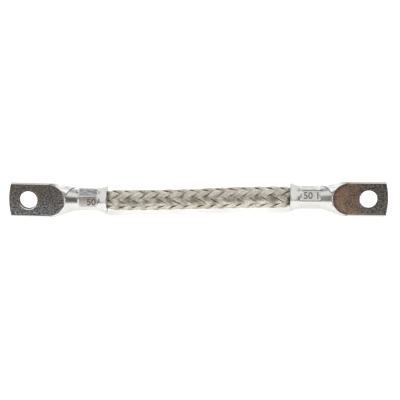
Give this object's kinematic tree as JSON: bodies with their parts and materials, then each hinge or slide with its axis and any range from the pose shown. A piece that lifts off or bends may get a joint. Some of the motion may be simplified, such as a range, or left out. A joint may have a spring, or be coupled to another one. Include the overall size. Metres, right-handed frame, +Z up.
{
  "type": "flexible busbar braid",
  "caption": "Round tinned copper braid crimped at both ends into tubular cable lugs with flat palms and a bolt hole in each, a flexible link between busbars.",
  "frame": {"origin": "middle of the floor under the strap, which stands on the flared mouths of its lugs and on the long edges of their palms", "axes": "+X along the strap from the left lug to the right lug, +Z up, the contact faces of both palms look towards -Y and a little up"},
  "size_m": [0.2228, 0.0198, 0.0205],
  "materials": {
    "left_lug_tin": "tin-plated copper tube, dull mottled shine",
    "right_lug_tin": "tin-plated copper tube, warm tarnish on the palm",
    "braid_wire": "fine tinned copper wires, satin"
  },
  "bodies": {
    "root": {"left_lug": "left_lug_tin", "right_lug": "right_lug_tin", "right_lay_strand_1": "braid_wire", "right_lay_strand_2": "braid_wire", "right_lay_strand_3": "braid_wire", "right_lay_strand_4": "braid_wire", "right_lay_strand_5": "braid_wire", "right_lay_strand_6": "braid_wire", "right_lay_strand_7": "braid_wire", "right_lay_strand_8": "braid_wire", "left_lay_strand_1": "braid_wire", "left_lay_strand_2": "braid_wire", "left_lay_strand_3": "braid_wire", "left_lay_strand_4": "braid_wire", "left_lay_strand_5": "braid_wire", "left_lay_strand_6": "braid_wire", "left_lay_strand_7": "braid_wire", "left_lay_strand_8": "braid_wire"}
  },
  "joints": []
}
